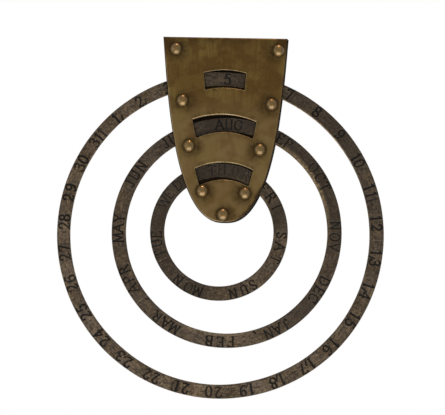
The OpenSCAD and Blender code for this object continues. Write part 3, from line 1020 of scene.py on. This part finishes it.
def capFaces(loops, net, numbers):
    # constrained triangles between the outer loop and the holes, in the mesh's own point numbers
    flat = np.concatenate(loops + [net])
    edges, base = [], 0
    for loop in loops:
        here = base + np.arange(len(loop))
        edges += np.column_stack([here, np.roll(here, -1)]).tolist()
        base += len(loop)
    made = geometry.delaunay_2d_cdt([Vector(p) for p in flat.tolist()], edges, [], 0, 1e-7)
    triangles = np.array(made[2])
    places = np.array([tuple(p) for p in made[0]])
    source = np.array([origin[0] for origin in made[3]])
    middle = places[triangles].mean(axis=1)
    kept = isWithin(middle, loops[0])
    for hole in loops[1:]:
        kept &= ~isWithin(middle, hole)
    return numbers[source[triangles[kept]]]


def netPoints(loops, step):
    # staggered rows of points within the outer loop, clear of every edge
    low, high = loops[0].min(axis=0), loops[0].max(axis=0)
    x, z = np.meshgrid(np.arange(low[0], high[0], step), np.arange(low[1], high[1], step * 0.87))
    x = x + (np.arange(x.shape[0]) % 2)[:, None] * step / 2
    net = np.column_stack([x.ravel(), z.ravel()])
    for k, loop in enumerate(loops):
        net = net[isWithin(net, loop) == (k == 0)]
        net = net[nearestEdge(net, loop) > step * 0.6]
    return net


def plateParts(loopSets, frontY, backY):
    # walls between each set's levels, then a cap at the front and one at the back
    points, numbers, base = [], [], 0
    for loops in loopSets:
        points.append(loops.reshape(-1, 3))
        numbers.append(base + np.arange(len(points[-1])).reshape(loops.shape[:2]))
        base += len(points[-1])
    faceSets = [tubeFaces(grid) for grid in numbers]
    for end, y, coarser, winding in ((0, frontY, 1, 1), (-1, backY, 2, -1)):
        edges = [loops[end][:, [0, 2]] for loops in loopSets]
        net = netPoints(edges, plateShape["netStep"] * coarser)
        own = np.concatenate([grid[end] for grid in numbers] + [base + np.arange(len(net))])
        faceSets.append(capFaces(edges, net, own)[:, ::winding])
        points.append(flatLoop(net, y))
        base += len(net)
    return np.concatenate(points), faceSets


rivetNodes = [f"rivet_{row}_{side}" for row in ("top", "date", "month", "tip") for side in ("left", "right")]
rivetNodes.append("rivet_tip")


def rivetPlace(name):
    low, high = nodeBox(name)
    return (low[0] + high[0]) / 2, (low[2] + high[2]) / 2


def fromRivets(flat):
    # for each rivet its x, and every point's distance across and up from it
    for name in rivetNodes:
        x, z = rivetPlace(name)
        yield x, flat[:, 0] - x, flat[:, 1] - z


plateWearAndLight = {
    # ripples: shortest and longest wave in mm, seed, and the values that become 0 and 1
    "patches": (5, 22, 91, -1.0, 1.0),
    "specks": (1.5, 7, 92, -1.0, 1.0),
    # darkening, grime and painted shade: amount, how far it holds in mm, and how far beyond it fades
    # top and corner are painted shade along the top edge and in the top corners
    "top": (0.45, 0, 5.0),
    "corner": (0.45, 0, 10.0),
    "cornerPlace": (44.0, 3.0),  # mm from the middle and below the top
    "halo": (0.95, 4.5, 1.1, 1.5),  # close round a rivet: grime and a painted shadow at its foot
    "smudge": (0.62, 4.2, 4.0),  # wider, and off to one side
    "smudgePlace": (2.2, -0.6),
    # painted shade round the windows' edges
    "window": (0.30, 0, 1.8),
    # painted shade on the rim's chamfer, reaching further in at the lower right where the plates' edge lies
    # in shadow
    "rimDark": 0.92,
    "rimDarkFrom": (0.35, 0.80),  # full and gone, mm in from the outline
    "crescent": (0.65, 0.80),  # how much further that painted shade reaches at the lower right
    "crescentAcross": (6.0, 16.0),
    "crescentDown": (105.0, 118.0),
    "rimLine": 0.88,  # how far in from the outline the rim's line of wear and painted highlight runs, mm
    "rimLineHalf": 0.18,
    "rimLineDeep": 0.3,  # only on points no deeper than this
    "rimLineDown": (8, 22),
    # the rim line is a painted highlight, strong on the left and faint on the right
    "leftLine": 0.58,
    "rightLine": 0.12,
    # painted light: the plate paler towards its lower part
    "lit": 0.8,
    "litDown": (35.0, 75.0),
    # what the patches or the specks leave of each at the least
    "topLeast": 0.5,
    "smudgeLeast": 0.45,
    "lineLeast": 0.6,
    "litLeast": 0.5,
    "bevelLeast": 0.55,
    "clears": 1.5,  # how fast wear and highlight clear the grime and shade, and grime and shade the painted light
}


def plateFields(points, loopSets, frontY, rim):
    # grime and painted shade: halos and smudges round the rivets, the top, the rim's chamfer, the windows;
    # wear and painted highlight: bevels and rim line; and painted light lower on the plate
    look = plateWearAndLight
    flat = points[:, [0, 2]]
    x, z = flat[:, 0], flat[:, 1]
    toRim = nearestEdge(flat, rim)
    top = rim[:, 1].max()
    down = top - z
    patch, small = patches(x, z, look["patches"]), patches(x, z, look["specks"])
    # painted shade along the top edge, broken by patches, and in the top corners
    corner = np.hypot(np.abs(x) - look["cornerPlace"][0], down - look["cornerPlace"][1])
    topMark = mark(down, *look["top"]) * atLeast(look["topLeast"], patch)
    grime = np.maximum(topMark, mark(corner, *look["corner"]))
    shift, drop = look["smudgePlace"]
    # round each rivet, grime with a painted shadow at its foot, and a smudge of grime off to one side
    for rivetX, across, up in fromRivets(flat):
        grime = np.maximum(grime, mark(np.hypot(across, up), *look["halo"]))
        aside = np.hypot(across + math.copysign(shift, rivetX), up - drop)
        grime = np.maximum(grime, mark(aside, *look["smudge"]) * atLeast(look["smudgeLeast"], small))
    # painted shade round the windows' edges
    for loops in loopSets[1:4]:
        away = nearestEdge(flat, loops[0][:, [0, 2]])
        grime = np.maximum(grime, mark(away, *look["window"]) * small)
    # painted shade on the rim's chamfer, reaching further in at the lower right
    lowRight = eased(x, *look["crescentAcross"]) * eased(down, *look["crescentDown"])
    full, gone = (edge + more * lowRight for edge, more in zip(look["rimDarkFrom"], look["crescent"]))
    darkTo = look["rimDark"] + (1 - look["rimDark"]) * lowRight
    grime = np.maximum(grime, darkTo * (1 - eased(toRim, full, gone)))
    # painted highlight: a line along the rim, strong on the left and faint on the right
    side = np.where(x < 0, look["leftLine"], look["rightLine"]) * eased(down, *look["rimLineDown"])
    line = side * bell(toRim - look["rimLine"], look["rimLineHalf"]) * atLeast(look["lineLeast"], small)
    wear = np.where(points[:, 1] - frontY < look["rimLineDeep"], line, 0.0)
    grime = grime * (1 - np.clip(wear * look["clears"], 0, 1))
    # painted light: paler towards the lower part of the plate, where grime and shade leave room
    lit = look["lit"] * eased(down, *look["litDown"]) * atLeast(look["litLeast"], patch)
    lit = lit * (1 - np.clip(grime * look["clears"], 0, 1))

    # the windows' bevels, level by level: the top bevel's extra wear is partly painted highlight, the walls'
    # dark painted shade
    shape = windowShape
    isTop = np.arange(2 * (shape["arcSteps"] + shape["endSteps"]))[None, :] < shape["arcSteps"]
    levels = np.array(shape["levels"])
    base = loopSets[0].shape[0] * loopSets[0].shape[1]
    for loops in loopSets[1:4]:
        here = slice(base, base + loops.shape[0] * loops.shape[1])
        rubbed = np.where(isTop, levels[:, 2:3], levels[:, 4:5]).ravel()
        dirtAndShade = np.where(isTop, levels[:, 3:4], levels[:, 5:6]).ravel()
        wear[here] = rubbed * atLeast(look["bevelLeast"], patch[here])
        grime[here] = np.maximum(dirtAndShade, np.where(rubbed > 0, 0, grime[here]))
        base = here.stop
    return shares(grime=grime, wear=wear, lit=lit)


def rivetHoles(levels, frontY):
    # clockwise circles at each rivet, each level a radius and a depth
    angle = np.linspace(0, 2 * np.pi, plateShape["holeSteps"], endpoint=False)
    return [
        np.stack([flatLoop(onCircle(angle, radius, *rivetPlace(name)), frontY + depth)
                  for radius, depth in levels])
        for name in rivetNodes
    ]


def makeFrontPlate(material):
    # rim, three windows and nine rivet holes; the face dips a little and is hollowed round the rivets
    low, high = nodeBox("front_plate")
    frontY, thick = low[1], high[1] - low[1]
    hole = plateShape["rivetHole"]
    rim = outlineLoop()
    loopSets = [levelLoops(rim, rimLevels, frontY)]
    loopSets += [windowLoops(window, frontY, thick) for window in windows]
    holeLevels = [(hole + 0.15, 0.0), (hole, 0.15), (hole, thick - 0.1), (hole + 0.1, thick)]
    loopSets += rivetHoles(holeLevels, frontY)
    points, faceSets = plateParts(loopSets, frontY, high[1])
    fields = plateFields(points, loopSets, frontY, rim)
    flat = points[:, [0, 2]]
    dip = plateShape["faceDip"] * patches(flat[:, 0], flat[:, 1], plateShape["dipPatches"])
    for _, across, up in fromRivets(flat):
        dip = dip + plateShape["rivetDip"] * bell(np.hypot(across, up), plateShape["rivetDipReach"])
    points[:, 1] += dip * (1 - eased(points[:, 1] - frontY, *plateShape["dipFade"]))
    addPiece("front_plate", "face", points, faceSets, "frame", material, fields)


keyhole = {
    "entry": 4.0,  # radius, mm
    "slot": 2.2,
    "rise": 7.0,  # from the entry hole's centre to the slot's round end
    "steps": 36,
    "sideSteps": 6,
}


def keyholeLoop(grow):
    # clockwise: the slot's round end, down its right side, round the entry hole, up the left side
    entry, slot, rise = keyhole["entry"] + grow, keyhole["slot"] + grow, keyhole["rise"]
    over = onCircle(np.linspace(-np.pi / 2, np.pi / 2, keyhole["steps"]), slot, 0.0, rise)
    meet = math.asin(slot / entry)
    around = onCircle(np.linspace(meet, 2 * np.pi - meet, keyhole["steps"] * 2), entry)
    right = between(over[-1], around[0], keyhole["sideSteps"])
    left = between(around[-1], over[0], keyhole["sideSteps"])
    return np.concatenate([over, right, around, left])


backWearAndShade = {
    "patches": (6, 26, 23, -1.0, 1.0),
    "dull": (0.25, 0.35),  # grime all over, and what the patches add
    "halo": (0.8, 3.4, 1.6),
    "blackTo": (1.6, 2.2),  # depth to which the sheet is painted black, as shade, from the channels' side, mm
    "edgeReach": 0.5,
    "edgeDeep": 0.4,  # only on points this near to the rear face
    "edgeWear": 0.4,
    "lit": 0.3,
}


def makeBackPlate(material):
    # same outline set off to one side, eased edges, the keyhole and nine countersunk holes; it is black
    # at its edge and in the channels, and its rear face lies on the wall
    low, high = nodeBox("back_plate")
    frontY, thick = low[1], high[1] - low[1]
    look, hole = backWearAndShade, plateShape["rivetHole"]
    rim = outlineLoop() + (low - nodeBox("front_plate")[0])[[0, 2]]
    levels = [(0.25, 0.0), (0.06, 0.06), (0.0, 0.25)]
    levels += [(0.0, thick - 0.35), (0.1, thick - 0.1), (0.35, thick)]
    loopSets = [levelLoops(rim, levels, frontY)]
    keyLevels = [(0.15, 0.0), (0.0, 0.15), (0.0, thick - 0.3), (0.09, thick - 0.09), (0.3, thick)]
    loopSets.append(np.stack([flatLoop(keyholeLoop(grow), frontY + depth) for grow, depth in keyLevels]))
    loopSets += rivetHoles([(hole + 0.1, 0.0), (hole, 0.1), (hole, thick - rivetShape["tailDepth"]),
                            (rivetShape["tail"] + 0.12, thick)], frontY)
    points, faceSets = plateParts(loopSets, frontY, high[1])
    flat = points[:, [0, 2]]
    patch = patches(flat[:, 0], flat[:, 1], look["patches"])
    grime = look["dull"][0] + look["dull"][1] * patch
    for _, across, up in fromRivets(flat):
        grime = np.maximum(grime, mark(np.hypot(across, up), *look["halo"]))
    start, end = look["blackTo"]
    # painted shade: the sheet black over its front face and the front of its edge, in the channels and the
    # gap
    grime = np.maximum(grime, 1 - eased(points[:, 1], low[1] + start, low[1] + end))
    isRear = points[:, 1] > high[1] - look["edgeDeep"]
    atEdge = bell(nearestEdge(flat, rim), look["edgeReach"]) * isRear
    fields = shares(grime=grime, wear=look["edgeWear"] * atEdge * patch, lit=look["lit"] * patch)
    addPiece("back_plate", "sheet", points, faceSets, "frame", material, fields)


rivetShape = {
    "headRadius": 4.65,
    "rimHeight": 0.28,
    "sweep": 0.965,  # share of the dome's arc before the rim is eased
    "sweepPower": 0.9,  # under 1 the rows stand closer towards the rim
    "shank": 2.0,
    "tail": 3.4,
    "tailDepth": 1.4,
    "around": 64,
    "domeRows": 22,
    "dents": 0.06,
    "dentPatches": (2.2, 8, 0, -1.2, 1.3),
    "seed": 200,
    "rimDarkStart": 0.94,  # share of the radius at which the grime and painted shade round the rim begin
    "rimShare": (0.75, 0.25),  # their mean, and how much they go up and down round the rim
    "rimWaves": (2, 7),  # mm
    "rimSeed": 50,
    "hiddenDark": 0.7,  # grime and painted shade on the hidden shank and the tail
    "tailDark": 0.6,
}


def makeRivet(name, seed, material):
    # a profile (radius, height) turned about the rivet's own axis: dome, eased rim, shank, flush tail
    low, high = nodeBox(name)
    x, z = rivetPlace(name)
    shape, front, back = rivetShape, low[1], high[1]
    headY = nodeBox("front_plate")[0][1]
    rise, head = headY - front, shape["headRadius"]
    sphere = (head ** 2 + rise ** 2) / (2 * rise)
    sweep = np.linspace(0, 1, shape["domeRows"] + 1)[1:] ** shape["sweepPower"]
    sweep = sweep * math.asin(head / sphere) * shape["sweep"]
    dome = np.column_stack([sphere * np.sin(sweep), front + sphere * (1 - np.cos(sweep))])
    shank, tail, deep = shape["shank"], shape["tail"], shape["tailDepth"]
    rest = np.array([
        [head, headY - shape["rimHeight"]], [head, headY - 0.12], [head - 0.1, headY - 0.02],
        [head - 0.25, headY], [shank + 0.1, headY], [shank, headY + 0.1], [shank, back - deep],
        [(shank + tail) / 2, back - deep / 2], [tail - 0.05, back - 0.05], [tail - 0.15, back],
        [tail * 0.6, back], [tail * 0.3, back],
    ])
    profile = np.concatenate([dome, rest])
    row = np.arange(len(profile))[:, None]
    angle = np.linspace(0, 2 * np.pi, shape["around"], endpoint=False)[None, :]
    radius, height = profile[:, :1], profile[:, 1:]
    px, pz = radius * np.sin(angle), radius * np.cos(angle)
    sunk = shape["dents"] * patches(px, pz, shape["dentPatches"], seed) * (row < shape["domeRows"])
    sunk = sunk * np.cos(np.clip(radius / head, 0, 1) * np.pi / 2) ** 0.5
    turned = np.stack([x + px, height + sunk, z + pz], -1)
    tip, end = np.array([[x, front + sunk[0].mean(), z]]), np.array([[x, back, z]])
    points = np.concatenate([tip, turned.reshape(-1, 3), end])
    index = 1 + np.arange(px.size).reshape(px.shape)
    quads = tubeFaces(index)[:, [0, 3, 2, 1]]
    count = shape["around"]
    frontFan = np.column_stack([np.zeros(count, int), np.roll(index[0], -1), index[0]])
    backFan = np.column_stack([np.full(count, len(points) - 1), index[-1], np.roll(index[-1], -1)])
    # grime and painted shade round the dome's rim, darker on the hidden underside, shank and tail
    mean, more = shape["rimShare"]
    rim = mean + more * ripple(px, pz, *shape["rimWaves"], seed + shape["rimSeed"])
    rim = rim * eased(radius, head * shape["rimDarkStart"], head)
    grime = np.where(row < shape["domeRows"] + 2, rim, shape["hiddenDark"])
    fields = shares(grime=np.concatenate([[0], grime.ravel(), [shape["tailDark"]]]))
    addPiece(name, "domed", points, [quads, frontFan, backFan], "frame", material, fields)


makeCamera()
makeLamps()
makeWorld()
makeFloor()
print("camera, lamps, room and floor are in place")

plateMaterial = makeFinish("plateBrass", plateFinish)
spacerMaterial = makeFinish("spacerBrass", spacerFinish)
ringMaterial = makeFinish("ringBronze", ringFinish)
rivetMaterial = makeFinish("rivetBrass", rivetFinish)
print("the finishes are mixed")

for ring in (dateRing, monthRing, weekdayRing):
    makeRing(ring, ringMaterial)
print("the rings are stamped")

makeFrontPlate(plateMaterial)
makeBackPlate(plateMaterial)
for name in ("top_spacer", "upper_spacer", "lower_spacer", "tip_spacer"):
    spacer = frame["nodes"][name]
    spacer.data.materials.clear()
    spacer.data.materials.append(spacerMaterial)
print("the plates are cut")

for k, name in enumerate(rivetNodes):
    makeRivet(name, rivetShape["seed"] + k, rivetMaterial)
print("the rivets are set")
